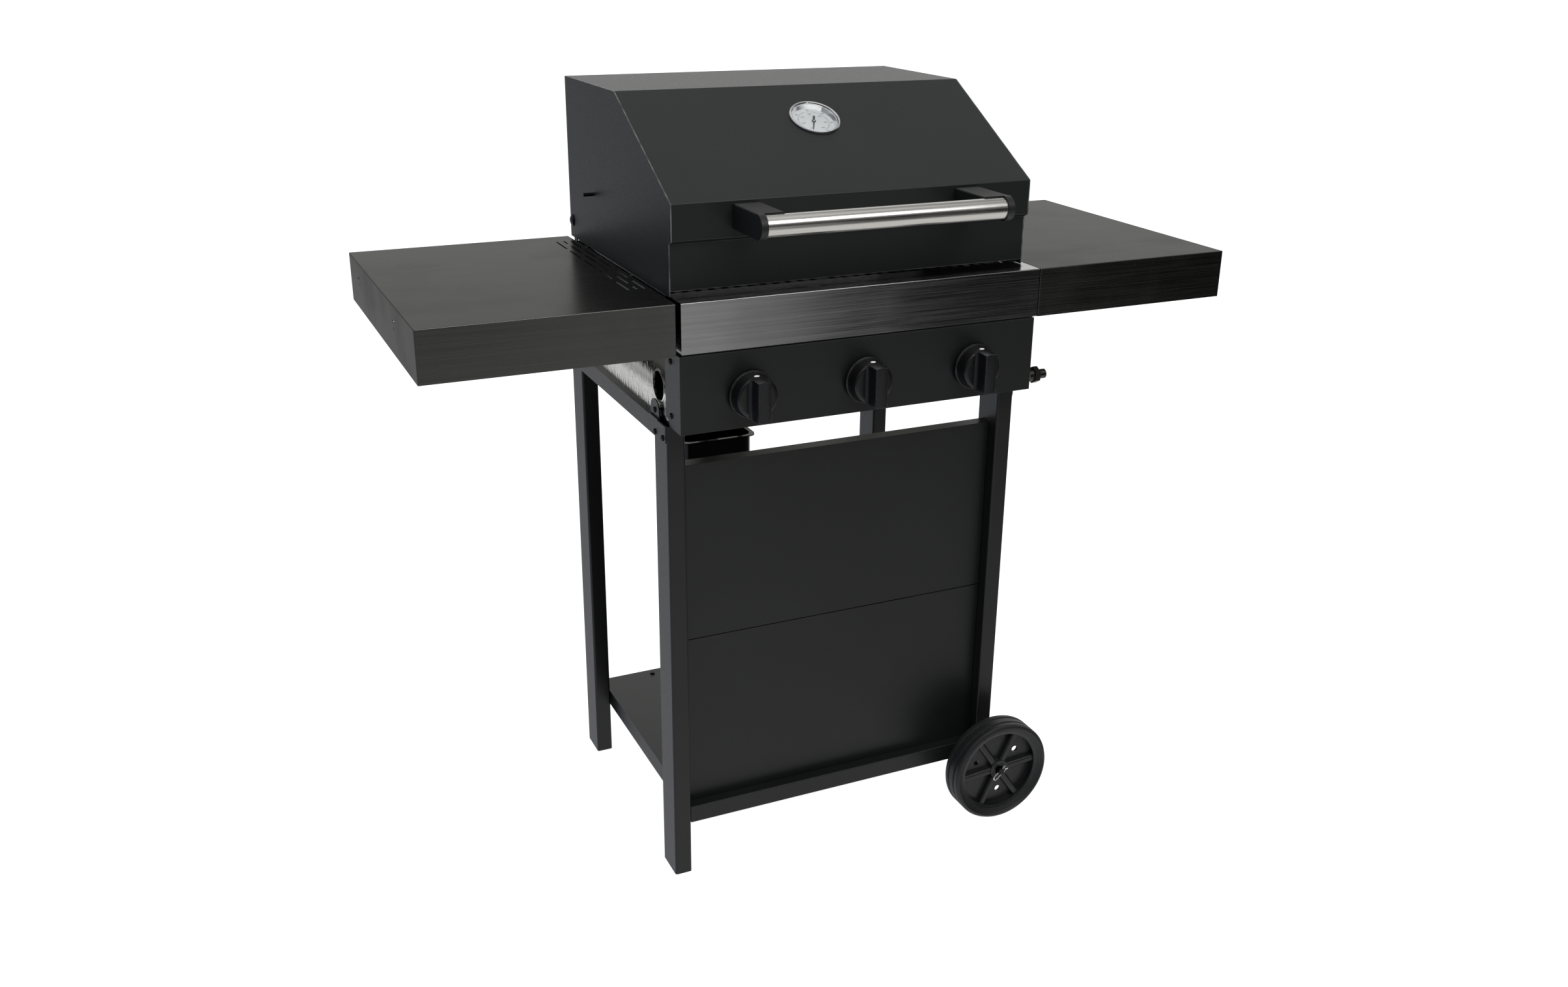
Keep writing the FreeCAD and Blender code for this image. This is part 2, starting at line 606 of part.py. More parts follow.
def shelf_bracket(shelf_end, y):
    """Left channel between the firebox and a side shelf."""
    outer = block((-shelf_end, -FIREBOX_HALF), (y - 22, y + 22), (798.0, 842.0))
    inner = block((-shelf_end + 1.5, -FIREBOX_HALF - 1.5), (y - 20.5, y + 20.5), (790.0, 850.0))
    return outer.cut(inner)


def valve(x):
    """Gas valve: block on the pipe, stem neck to the front, jet to the back."""
    body = rounded(block((x - 11, x + 11), (4.0, 33.0), (719.0, 747.0)), 3.0, (0, 1, 0))
    neck = rod((x, 0.0, BURNER_Z), (x, 5.0, BURNER_Z), 8.5)
    spigot = rod((x, MANIFOLD_Y, 700.0), (x, MANIFOLD_Y, 720.0), 6.5)
    jet = rod((x, 32.0, BURNER_Z), (x, 41.0, BURNER_Z), 5.0)
    tip = rod((x, 40.0, BURNER_Z), (x, 50.0, BURNER_Z), 2.5)
    solid = join([body, neck, spigot, jet, tip])
    solid = solid.cut(rod((-210, MANIFOLD_Y, MANIFOLD_Z), (270, MANIFOLD_Y, MANIFOLD_Z), MANIFOLD_R))
    below = block((x - 10, x + 10), (0, 30), (690, MANIFOLD_Z))
    return solid.cut(below).cut(rod((x, -1, BURNER_Z), (x, 17, BURNER_Z), 4.08))


def stem(x):
    return rod((x, -34.0, BURNER_Z), (x, 11.0, BURNER_Z), 4.0)


def knob(x):
    """Control knob: skirt, round body and an upright grip bar."""
    z = BURNER_Z
    body = turned([(0, -7.5), (31.0, -7.5), (31.4, -9.0), (31.0, -10.2), (29.2, -13.0), (28.6, -15.0),
                   (28.0, -26.0), (26.8, -28.2), (0, -28.8)], (x, z))
    bar = block((x - 9.0, x + 9.0), (KNOB_FRONT, -20.0), (z - 30, z + 30))
    bar = rounded(bar, 1.6, (0, 0, 1), lambda p: p.y < KNOB_FRONT + 1)
    bar = bar.common(rod((x, -60, z), (x, 0, z), KNOB_R))
    return join([body, bar]).cut(rod((x, 0, z), (x, -34.3, z), 4.08))


def build_controls():
    save("grease_tray", grease_tray())
    save("tray_hangers", [tray_hanger(-1), tray_hanger(1)])
    save("control_panel", control_panel())
    save("control_panel_brackets", both_sides(panel_bracket()))
    save("side_shelf_brackets",
         [shelf_bracket(LEFT_SHELF_IN, y) for y in (110.0, 365.0)]
         + [mirrored_x(shelf_bracket(RIGHT_SHELF_IN, y)) for y in (110.0, 365.0)])
    main = pipe((-200, MANIFOLD_Y, MANIFOLD_Z), (264, MANIFOLD_Y, MANIFOLD_Z), MANIFOLD_R, 6.6)
    plug = rod((-200, MANIFOLD_Y, MANIFOLD_Z), (-196, MANIFOLD_Y, MANIFOLD_Z), 6.8)
    main = join([main, plug])
    for x in BURNER_X:
        main = main.cut(rod((x, MANIFOLD_Y, MANIFOLD_Z), (x, MANIFOLD_Y, 712), 2.5))
    save("gas_manifold", main)
    save("gas_valves", [valve(x) for x in BURNER_X])
    collar = rod((264, MANIFOLD_Y, MANIFOLD_Z), (272, MANIFOLD_Y, MANIFOLD_Z), 9.0)
    nut = hexagon((271.5, MANIFOLD_Y, MANIFOLD_Z), 21.0, 8.0, (1, 0, 0))
    thread = rod((279, MANIFOLD_Y, MANIFOLD_Z), (292, MANIFOLD_Y, MANIFOLD_Z), 6.75)
    inlet = join([collar, nut, thread])
    save("gas_inlet", inlet.cut(rod((260, MANIFOLD_Y, MANIFOLD_Z), (300, MANIFOLD_Y, MANIFOLD_Z), 3.5)))
    for name, x in zip(("left", "middle", "right"), BURNER_X):
        save("valve_stem_" + name, stem(x))
        save("knob_" + name, knob(x))
    frame_points = [(RAIL_SCREWS + LUG_SCREWS + CONTROL_SCREWS, (-1, 0, 0)),
                    (RIGHT_RAIL_SCREWS + RIGHT_LUG_SCREWS
                     + [(-x, y, z) for x, y, z in CONTROL_SCREWS], (1, 0, 0)),
                    (SHELF_SCREWS, (0, 0, 1))]
    screws = [screw(point, outward) for points, outward in frame_points for point in points]
    save("pan_head_screws", screws)


# ---- fascia and side shelves --------------------------------------------------
def fascia():
    """Brushed front strip folded over the top towards the firebox, with a row of vents."""
    bottom = TOP_Z - TOP_H
    profile = [(52.9, 838.0), (52.9, TOP_Z), (0.0, TOP_Z), (0.0, bottom), (14.0, bottom)]
    strip = bent_sheet(profile, SHEET, 0.5, FASCIA_HALF)
    pieces = [strip]
    for x in ((-FASCIA_HALF, -FASCIA_HALF + 1), (FASCIA_HALF - 1, FASCIA_HALF)):
        pieces.append(block(x, (0.5, 24.0), (bottom + 0.5, TOP_Z - 0.5)))
    strip = join(pieces)
    strip.translate(V(FASCIA_MID_X, 0, 0))
    for i in range(8):
        x = -227.5 + 65 * i
        strip = strip.cut(block((x - 24, x + 24), (22.0, 24.4), (TOP_Z - 3, TOP_Z + 1)))
    return strip


def side_shelf(inner_end):
    """Left shelf: folded tray with its lower edges turned in, vents beside the hood."""
    x = (-SIDE_SHELF_OUT, -inner_end)
    y = (0.0, SIDE_SHELF_BACK)
    z = (TOP_Z - TOP_H, TOP_Z)
    shell = rounded(block(x, y, z), 1.2, (0, 0, 1))
    shell = rounded(shell, 1.2, (1, 0, 0), lambda p: p.z > TOP_Z - 0.1)
    shell = shell.cut(block((x[0] + 1, x[1] - 1), (1, y[1] - 1), (z[0] + 1, z[1] - 1)))
    shell = shell.cut(block((x[0] + 13, x[1] - 13), (13, y[1] - 13), (z[0] - 1, z[0] + 2)))
    for i in range(5):
        shell = shell.cut(vent(-269.8, 118.0 + 67.5 * i, 52.0))
        shell = shell.cut(vent(-291.0, 118.0 + 67.5 * i, 52.0))
    for i in range(4):
        shell = shell.cut(vent(-280.0, 152.0 + 67.0 * i, 50.0))
    for y_short in (103.0, 405.5):
        shell = shell.cut(vent(-280.0, y_short, 20.0))
    for hook_y in (130.0, 382.0):
        shell = shell.cut(block((-582, -570), (hook_y - 5, hook_y + 5), (834.0, 836.4)))
        shell = shell.cut(rod((-582, hook_y, 826.0), (-570, hook_y, 826.0), 1.6))
    return shell


def vent(x, y, length):
    return block((x - 1.4, x + 1.4), (y - length / 2, y + length / 2), (TOP_Z - 3, TOP_Z + 1))


# ---- hood ---------------------------------------------------------------------
SLOPE = math.atan2(HOOD_TOP - BAND_TOP, HOOD_FOLD_Y - BAND_Y)
GAUGE_Z = BAND_TOP + (GAUGE_Y - BAND_Y) * math.tan(SLOPE)
HANDLE_SCREWS = [(x, BAND_Y + SHEET, HANDLE_Z) for x in (-166.0, -148.0, 148.0, 166.0)]


def on_slope(shape):
    """Move a shape drawn flat at the origin onto the hood's sloping face."""
    turn = FreeCAD.Rotation(V(1, 0, 0), math.degrees(SLOPE))
    shape.Placement = FreeCAD.Placement(V(0, GAUGE_Y, GAUGE_Z), turn).multiply(shape.Placement)
    return shape


def hood_shell():
    profile = [(HOOD_BACK, HOOD_VENT), (HOOD_BACK, HOOD_TOP), (HOOD_FOLD_Y, HOOD_TOP),
               (BAND_Y, BAND_TOP), (BAND_Y, BAND_BOTTOM), (LOWER_Y, BAND_BOTTOM - 4.0),
               (LOWER_Y, HOOD_BOTTOM)]
    shell = bent_sheet(profile, SHEET, 0.8, HOOD_HALF - SHEET)
    shell = pierced(shell, HANDLE_SCREWS, (0, 1, 0))
    return shell.cut(on_slope(Part.makeCylinder(GAUGE_CUP_R + 0.1, 20, V(0, 0, -10))))


def hood_side():
    """Left hood side plate."""
    profile = [(HOOD_BACK, HOOD_SIDE_BOTTOM), (HOOD_BACK, HOOD_TOP), (HOOD_FOLD_Y, HOOD_TOP),
               (BAND_Y, BAND_TOP), (BAND_Y, BAND_BOTTOM), (LOWER_Y, BAND_BOTTOM - 4.0),
               (LOWER_Y, HOOD_SIDE_BOTTOM)]
    plate = plate_yz(profile, (-HOOD_HALF, -HOOD_HALF + SHEET), 1.2)
    plate = plate.cut(rod((-260, HINGE_Y, HINGE_Z), (-250, HINGE_Y, HINGE_Z), HINGE_R + 0.08))
    return plate.cut(rod((-260, RACK_PIN_Y, RACK_PIN_Z), (-250, RACK_PIN_Y, RACK_PIN_Z), 2.52))


def hinge_bracket():
    """Left hinge ear, standing inside the firebox wall."""
    stem_plate = block((-INNER_X, -252.8), (433.0, 445.6), (824.0, HINGE_Z))
    ear = rod((-INNER_X, HINGE_Y, HINGE_Z), (-252.8, HINGE_Y, HINGE_Z), 9.0)
    hole = rod((-260, HINGE_Y, HINGE_Z), (-250, HINGE_Y, HINGE_Z), HINGE_R + 0.05)
    return join([stem_plate, ear]).cut(hole)


def hinge_bolt():
    """Left hinge bolt with a domed head outside and a nut inside."""
    ball = Part.makeSphere(13.7, V(-261.6 + 13.7, HINGE_Y, HINGE_Z))
    head = ball.common(rod((-265, HINGE_Y, HINGE_Z), (-258.4, HINGE_Y, HINGE_Z), 8.9))
    washer = rod((-258.4, HINGE_Y, HINGE_Z), (-257.7, HINGE_Y, HINGE_Z), 8.9)
    shank = rod((-258.0, HINGE_Y, HINGE_Z), (-247.5, HINGE_Y, HINGE_Z), HINGE_R)
    nut = hexagon((-252.8, HINGE_Y, HINGE_Z), 9.0, 3.6, (1, 0, 0))
    return join([head, washer, shank, nut])


def handle_bracket():
    """Left handle arm: a flat-topped block from the band to the tube, which it cups at the end."""
    z = (HANDLE_Z - ARM_HALF_H, HANDLE_Z + ARM_HALF_H)
    arm = rounded(block((-176, -139), (HANDLE_Y, BAND_Y), z), 2.2, (0, 1, 0))
    cap = rod((-176, HANDLE_Y, HANDLE_Z), (-139, HANDLE_Y, HANDLE_Z), ARM_HALF_H)
    cap = cap.cut(block((-180, -135), (HANDLE_Y, 0), (900, 1000)))
    cap = cap.cut(block((-HANDLE_HALF, -135), (HANDLE_Y - 30, HANDLE_Y), (900, 1000)))
    tube = rod((-HANDLE_HALF, HANDLE_Y, HANDLE_Z), (-100, HANDLE_Y, HANDLE_Z), HANDLE_R + 0.02)
    return pierced(join([arm, cap]).cut(tube), HANDLE_SCREWS[:2], (0, 1, 0))


def warming_rack():
    """Flat wire grid and the upright plate that hangs each end of it."""
    wires = []
    front, back = 277.0, 393.0
    for y in (front, back):
        wires.append(rod((-247.5, y, RACK_Z), (247.5, y, RACK_Z), 3.0))
    for x in (-247.5, 247.5):
        wires.append(rod((x, front, RACK_Z), (x, back, RACK_Z), 3.0))
        for y in (front, back):
            wires.append(Part.makeSphere(3.0, V(x, y, RACK_Z)))
    count = 24
    for i in range(count):
        x = -230 + 460 / (count - 1) * i
        wires.append(rod((x, front, RACK_Z), (x, back, RACK_Z), 1.6))
    wires.append(rod((-247.5, RACK_PIN_Y, RACK_Z), (247.5, RACK_PIN_Y, RACK_Z), 2.4))
    hanger = join([block((-253.0, -250.5), (RACK_PIN_Y - 8, RACK_PIN_Y + 8), (RACK_Z - 3, RACK_PIN_Z)),
                   rod((-253.0, RACK_PIN_Y, RACK_PIN_Z), (-250.5, RACK_PIN_Y, RACK_PIN_Z), 8.0)])
    hanger = hanger.cut(rod((-260, RACK_PIN_Y, RACK_PIN_Z), (-240, RACK_PIN_Y, RACK_PIN_Z), 2.58))
    return [join(wires)] + both_sides(hanger)


def build_hood():
    save("fascia", fascia())
    save("side_shelf_left", side_shelf(LEFT_SHELF_IN))
    save("side_shelf_right", mirrored_x(side_shelf(RIGHT_SHELF_IN)))
    save("hood_shell", hood_shell())
    save("hood_side_left", hood_side())
    save("hood_side_right", mirrored_x(hood_side()))
    save("hood_hinge_brackets", both_sides(hinge_bracket()))
    save("hood_hinge_bolts", both_sides(hinge_bolt()))
    save("handle_tube", pipe((-HANDLE_HALF, HANDLE_Y, HANDLE_Z), (HANDLE_HALF, HANDLE_Y, HANDLE_Z),
                             HANDLE_R, HANDLE_R - 1.2))
    save("handle_brackets", both_sides(handle_bracket()))
    save("handle_screws", [screw(point, (0, 1, 0)) for point in HANDLE_SCREWS])
    pin = rod((-272.5, RACK_PIN_Y, RACK_PIN_Z), (-246.5, RACK_PIN_Y, RACK_PIN_Z), 2.5)
    save("rack_pins", both_sides(pin))
    save("warming_rack", warming_rack())


# ---- thermometer --------------------------------------------------------------
def build_thermometer():
    """Dished case let into the sloping face, with its dial at the bottom and a probe below."""
    back = DIAL_DEPTH - 2.0
    profile = [(0, back), (29.6, back), (GAUGE_CUP_R, DIAL_DEPTH + 2.0), (GAUGE_CUP_R, 0.05),
               (GAUGE_R - 0.4, 0.05), (GAUGE_R, 0.6), (GAUGE_R, 2.0), (GAUGE_R - 0.7, 2.9), (33.6, 3.0),
               (32.6, 2.6), (28.5, DIAL_DEPTH), (0, DIAL_DEPTH)]
    outline = Part.makePolygon([V(r, 0, z) for r, z in profile + profile[:1]])
    case = Part.Face(outline).revolve(V(0, 0, 0), V(0, 0, 1), 360)
    probe = Part.makeCylinder(3.2, 54, V(0, 0, back - 54))
    nut = hexagon((0, 0, back - 5.0), 14.0, 5.0, (0, 0, 1))
    save("thermometer_case", on_slope(join([case, probe, nut])))
    save("thermometer_dial", on_slope(Part.makeCylinder(28.4, 0.6, V(0, 0, DIAL_DEPTH))))
    z = DIAL_DEPTH + 1.1
    boss = Part.makeCylinder(2.9, 0.9, V(0, 0, z - 0.1))
    blade = Part.Face(Part.makePolygon([V(-1.5, 12, z), V(1.5, 12, z), V(0.5, -20, z), V(-0.5, -20, z),
                                        V(-1.5, 12, z)])).extrude(V(0, 0, 0.5))
    needle = join([boss, blade])
    needle.rotate(V(0, 0, 0), V(0, 0, 1), NEEDLE_REST)
    save("thermometer_pointer", on_slope(needle))
    save("thermometer_glass", on_slope(Part.makeCylinder(31.4, 0.8, V(0, 0, 0.8))))


os.makedirs("parts", exist_ok=True)
build_frame()
build_cart()
build_wheels()
build_firebox()
build_controls()
build_hood()
build_thermometer()
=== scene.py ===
# %% [markdown]
# # A cart gas barbecue
# The CAD model gives every part its size and its place. This notebook gives it its looks: a
# camera, a pale studio, a procedural finish for every part, and the small pieces that a maker
# would add by hand: moulded knobs with their dots, a printed dial and the inlet's thread.

# %% The frame
import bpy
import json
from math import atan2, cos, pi, radians, sin
from mathutils import Matrix, Vector


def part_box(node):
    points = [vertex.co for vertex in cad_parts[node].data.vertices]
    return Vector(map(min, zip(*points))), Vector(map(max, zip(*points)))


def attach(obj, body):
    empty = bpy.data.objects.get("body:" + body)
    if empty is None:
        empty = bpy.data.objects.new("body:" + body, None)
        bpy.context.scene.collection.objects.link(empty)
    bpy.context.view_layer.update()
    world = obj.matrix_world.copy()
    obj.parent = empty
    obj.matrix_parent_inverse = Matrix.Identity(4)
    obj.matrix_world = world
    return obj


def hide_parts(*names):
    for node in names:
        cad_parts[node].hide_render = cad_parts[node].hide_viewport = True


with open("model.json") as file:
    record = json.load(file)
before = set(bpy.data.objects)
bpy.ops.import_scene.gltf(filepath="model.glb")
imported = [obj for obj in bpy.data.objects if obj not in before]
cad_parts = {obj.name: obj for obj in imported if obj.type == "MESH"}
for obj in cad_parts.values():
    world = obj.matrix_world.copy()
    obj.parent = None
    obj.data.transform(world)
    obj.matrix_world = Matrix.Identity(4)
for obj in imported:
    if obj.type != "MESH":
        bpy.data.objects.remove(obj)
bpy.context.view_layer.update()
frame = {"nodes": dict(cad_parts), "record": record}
nodes = frame["nodes"]

# %% [markdown]
# ## The camera
# The grill is seen from its front left corner and from above. A new camera looks straight
# down, so the view is built from plain turns: tip it up, swing it round, lean it a little.

# %% The camera
FROM_FASCIA = Vector((-0.8611, -1.6198, 1.2844))
LOOK_DOWN, LOOK_RIGHT, LEAN = radians(21.350), radians(24.745), radians(0.609)
LENS_MM = 33.22

bpy.ops.object.camera_add()
camera = bpy.context.object
swing = Matrix.Rotation(-LOOK_RIGHT, 4, "Z")
tip = Matrix.Rotation(pi / 2 - LOOK_DOWN, 4, "X")
lean = Matrix.Rotation(LEAN, 4, "Z")
camera_place = FROM_FASCIA + Vector((0.0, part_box("fascia")[0].y, 0.0))
camera.matrix_world = Matrix.Translation(camera_place) @ swing @ tip @ lean
camera.data.sensor_width = 36.0
camera.data.lens = LENS_MM
camera.data.clip_end = 200.0
bpy.context.scene.camera = camera
print("camera at", [round(v, 3) for v in camera.location])

# %% [markdown]
# ## Writing shaders as sums
# A finish is a web of small nodes. Wrapping a socket in a class with its own +, - and * lets a
# pattern be written as one line of maths, and each operator adds its Math node.


# %% Wires and webs
class Wire:
    """One value in a shader; maths on it adds the nodes that work it out."""

    def __init__(self, web, socket):
        self.web, self.socket = web, socket

    def maths(self, operation, *values):
        return self.web.node("Math", {"operation": operation}, dict(enumerate(values)))

    def __add__(self, other):
        return self.maths("ADD", self, other)

    def __sub__(self, other):
        return self.maths("SUBTRACT", self, other)

    def __rsub__(self, other):
        return self.maths("SUBTRACT", other, self)

    def __mul__(self, other):
        return self.maths("MULTIPLY", self, other)

    __radd__, __rmul__ = __add__, __mul__


class Web:
    """A node tree, and one way to add anything to it."""

    def __init__(self, tree):
        self.tree = tree

    def node(self, kind, settings=None, inputs=None, output=0):
        made = self.tree.nodes.new("ShaderNode" + kind)
        for name, value in (settings or {}).items():
            setattr(made, name, value)
        for name, value in (inputs or {}).items():
            self.connect(made.inputs[name], value)
        return Wire(self, made.outputs[output])

    def connect(self, socket, value):
        if isinstance(value, Wire):
            self.tree.links.new(value.socket, socket)
        elif socket.type == "RGBA":
            socket.default_value = (*value, 1.0)
        else:
            socket.default_value = value

    def spread(self, value, low, high, start=0.3, end=0.7):
        """Turns the value's range start..end into low..high, with soft ends."""
        settings = {"interpolation_type": "SMOOTHSTEP"}
        return self.node("MapRange", settings, {0: value, 1: start, 2: end, 3: low, 4: high})

    def tint(self, mask, colour, other):
        """One colour where the mask is 0, the other where it is 1."""
        return self.node("Mix", {"data_type": "RGBA"}, {0: mask, 6: colour, 7: other}, output=2)


class Finish(Web):
    """A material: a Principled shader and what feeds it, on the piece's own coordinates."""

    def __init__(self, name, **constants):
        self.material = bpy.data.materials.new(name)
        self.material.use_nodes = True
        super().__init__(self.material.node_tree)
        self.shader = self.tree.nodes["Principled BSDF"]
        self.feed({label.replace("_", " "): value for label, value in constants.items()})
        self.place = self.node("TexCoord", output="Object")

    def feed(self, sockets):
        for label, value in sockets.items():
            self.connect(self.shader.inputs[label], value)

    def noise(self, scale, detail=2.0, stretch=(1.0, 1.0, 1.0)):
        """Soft noise from 0 to 1: scale is blobs per metre, and stretch multiplies it by axis."""
        point = self.node("Mapping", None, {0: self.place, "Scale": stretch})
        return self.node("TexNoise", None, {"Vector": point, "Scale": scale, "Detail": detail})

    def relief(self, height, depth):
        """Surface relief; depth is how far, in metres, a height of 1 stands out."""
        return self.node("Bump", None, {"Height": height, "Distance": depth, "Strength": 1.0})

    def edge(self, radius):
        """Close to 1 on corners sharper than the radius, 0 on flats."""
        soft = self.node("Bevel", {"samples": 4}, {"Radius": radius})
        flat = self.node("NewGeometry", output="Normal")
        same = self.node("VectorMath", {"operation": "DOT_PRODUCT"}, {0: soft, 1: flat}, "Value")
        return self.spread(same, 1.0, 0.0, 0.80, 0.995)


print("shader helpers ready")

# %% [markdown]
# ## The studio
# Dark, glossy sheet metal shows the room more than it shows itself. The grill stands in a pale
# studio: a bright backdrop behind, a white floor close by, and darkness far in front, with one
# tall pale card that lightens the middle of the fascia. A painted sky of a few soft bands does
# this more evenly than many lamps would, and a floor that only the camera sees stays pure.

# %% The sky
world = bpy.data.worlds.new("studio")
bpy.context.scene.world = world
world.use_nodes = True
sky = Web(world.node_tree)
sky.tree.nodes.clear()
direction = sky.node("TexCoord", output="Generated")
axes = [sky.node("SeparateXYZ", None, {0: direction}, output=i) for i in range(3)]
east, north, up = axes
floor_glow = sky.spread(up, 0.75, 0.05, -0.55, -0.12)
front_top = sky.spread(up, 0.0, 0.40, 0.05, 0.9)
backdrop = sky.spread(up, 0.62, 0.95, -0.08, 0.12) * sky.spread(up, 1.0, 0.32, 0.35, 0.80)
back_left = sky.spread(east, 0.55, 0.0, -0.30, 0.0) * sky.spread(up, 0.0, 1.0, -0.25, -0.17)
backdrop = backdrop * (1.0 - back_left)
behind = sky.spread(north, 0.0, 1.0, -0.15, 0.45)
sideways = sky.node("Math", {"operation": "ARCTAN2"}, {0: east, 1: north * -1.0})
card = sky.spread(sideways, 0.0, 1.0, 0.27, 0.34) * sky.spread(sideways, 1.0, 0.0, 0.39, 0.47)
card = card * sky.spread(up, 0.0, 1.0, -0.45, -0.3) * sky.spread(up, 1.0, 0.0, -0.1, 0.1)
dim = sky.spread(sideways, 0.0, 0.90, 0.28, 0.52) * sky.spread(up, 0.0, 1.0, -0.50, -0.35)
front = floor_glow * (1.0 - dim) + front_top + 0.55 * card
level = front * (1.0 - behind) + backdrop * behind
cool = sky.spread(east, 1.0, 0.0, -0.8, -0.1)
shade = sky.tint(cool, (1.0, 1.0, 0.985), (0.90, 0.95, 1.12))
glow = sky.node("Background", None, {"Color": shade, "Strength": level})
plain = sky.node("Background", None, {"Color": (1.0, 1.0, 1.0), "Strength": 1.0})
seen = sky.node("LightPath", output="Is Camera Ray")
mixed = sky.node("MixShader", None, {0: seen, 1: glow, 2: plain})
ending = sky.tree.nodes.new("ShaderNodeOutputWorld")
sky.tree.links.new(mixed.socket, ending.inputs["Surface"])
bpy.context.scene.view_settings.view_transform = "Standard"
print("sky nodes:", len(sky.tree.nodes))


# %% Lamps and floor
def softbox(name, place, target, size, power):
    """Rectangular lamp of the given width and height, turned to face a point."""
    bpy.ops.object.light_add(type="AREA", location=place)
    lamp = bpy.context.object
    lamp.name = name
    lamp.data.shape = "RECTANGLE"
    lamp.data.size, lamp.data.size_y = size
    lamp.data.energy = power
    lamp.rotation_euler = (Vector(target) - Vector(place)).to_track_quat("-Z", "Y").to_euler()


softbox("overhead", (0.1, 0.3, 3.2), (0.0, 0.25, 0.9), (2.6, 2.0), 5.0)
softbox("front_strip", (0.5, -2.45, 2.95), (0.0, 0.0, 0.95), (2.4, 1.25), 32.0)

bpy.ops.mesh.primitive_plane_add(size=120.0)
floor = bpy.context.object
floor.name = "studio_floor"
paper = Finish("studio_paper", Roughness=0.9, Base_Color=(0.8, 0.8, 0.8), Emission_Strength=0.95)
paper.feed({"Emission Color": (1.0, 1.0, 1.0)})
floor.data.materials.append(paper.material)
floor.visible_glossy = floor.visible_diffuse = False

# %% [markdown]
# ## Powder coat
# The hood, panels, legs and shelf are folded steel, sprayed with dry powder that melts into a
# satin skin. Under a lamp it shows as a fine, even orange peel. A flat black would look like
# cut paper, so the colour drifts a little, the peel is real relief, and the folds are painted
# paler: partly wear, partly a painted highlight along each fold.


# %% Powder coat
def powder_coat(name, colour, edge_wear_and_highlight_colour, roughness, peel=0.00004):
    """Satin powder with orange peel about 1 mm across."""
    coat = Finish(name, IOR=1.5)
    drift, grain, fine = coat.noise(5.0, 3.0), coat.noise(900.0), coat.noise(2500.0)
    # Corners are painted paler in patches: partly wear, partly a painted highlight along the
    # folds.
    edge_wear_and_highlight = coat.edge(0.0012) * coat.spread(coat.noise(60.0), 0.3, 1.0)
    deep = tuple(0.75 * c for c in colour)
    body = coat.tint(coat.spread(drift + 0.3 * fine, 0.0, 1.0, 0.4, 0.9), deep, colour)
    coat.feed({
        "Base Color": coat.tint(edge_wear_and_highlight, body, edge_wear_and_highlight_colour),
        "Roughness": coat.spread(grain, roughness - 0.05, roughness + 0.07) - 0.1 * edge_wear_and_highlight,
        "Normal": coat.relief(grain + 0.5 * fine, peel),
    })
    return coat.material


# The hood's near-white edge colour is mostly a painted highlight along its folds; the panels' and
# frame's paler edges are wear and painted highlight.
hood_coat = powder_coat("hood_powder", (0.0118, 0.0142, 0.0142), (0.48, 0.49, 0.49), 0.42)
panel_coat = powder_coat("panel_powder", (0.0110, 0.0125, 0.0122), (0.08, 0.085, 0.085), 0.40)
frame_coat = powder_coat("frame_powder", (0.0155, 0.0156, 0.0154), (0.10, 0.10, 0.10), 0.36)
print("powder coats ready")

# %% [markdown]
# ## Brushed and plated metals
# The fascia and shelves are black stainless, drawn under an abrasive belt that leaves hair-fine
# lines along the grill's width. Stretching one noise along X and squeezing it the other ways
# gives those lines to the colour, the roughness and the relief together.

# %% Brushed metal
ALONG_X = (0.006, 1.0, 1.0)
ALONG_Y = (1.0, 0.006, 1.0)
EVEN = (1.0, 1.0, 1.0)


def brushed_metal(name, colour, roughness, grain=ALONG_X, contrast=0.22, depth=0.000004,
                  glance=1.0):
    """Metal with belt lines in one direction; glance is how bright it stays seen edge on."""
    metal = Finish(name, Metallic=1.0, Specular_Tint=(glance, glance, glance))
    lines = metal.noise(1500.0, 3.0, grain)
    broad = metal.noise(260.0, 2.0, grain)
    smear = metal.noise(9.0, 4.0)
    dark = tuple((1.0 - contrast) * c for c in colour)
    light = tuple((1.0 + contrast) * c for c in colour)
    body = metal.tint(metal.spread(0.7 * lines + 0.3 * broad, 0.0, 1.0), dark, light)
    # Edges are painted paler: partly wear, partly a painted highlight.
    edge_wear_and_highlight = metal.edge(0.0010)
    metal.feed({
        "Base Color": metal.tint(edge_wear_and_highlight, body, tuple(min(1.0, 1.3 * c + 0.02) for c in colour)),
        "Roughness": metal.spread(lines, roughness - 0.04, roughness + 0.05)
        + metal.spread(smear, 0.0, 0.05, 0.45, 0.75),
        "Normal": metal.relief(lines + broad, depth),
    })
    return metal.material


fascia_metal = brushed_metal("black_stainless", (0.33, 0.33, 0.335), 0.17)
shelf_metal = brushed_metal("shelf_stainless", (0.125, 0.125, 0.121), 0.25, contrast=0.10,
                            glance=0.48)
tube_metal = brushed_metal("handle_stainless", (0.66, 0.65, 0.62), 0.20, contrast=0.08)
burner_metal = brushed_metal("burner_stainless", (0.50, 0.48, 0.45), 0.34, ALONG_Y)
pipe_metal = brushed_metal("gas_pipe_steel", (0.34, 0.34, 0.34), 0.42)
print("brushed metals ready")

# %% [markdown]
# Plating has no direction. Zinc is mottled, as it grows in small crystals; chrome is smooth
# and shows only smudges; the die-cast valves are frosted; the inlet is dark nickel.


# %% Plated metal
def plated_metal(name, colour, patch, roughness, scale=120.0, depth=0.00001):
    """Metal whose colour and gloss drift in patches."""
    metal = Finish(name, Metallic=1.0)
    patches, grit = metal.noise(scale, 3.0), metal.noise(1800.0)
    mask = metal.spread(patches, 0.0, 1.0)
    metal.feed({
        "Base Color": metal.tint(mask, colour, patch),
        "Roughness": metal.spread(patches, roughness - 0.04, roughness + 0.08),
        "Normal": metal.relief(grit + patches, depth),
    })
    return metal.material


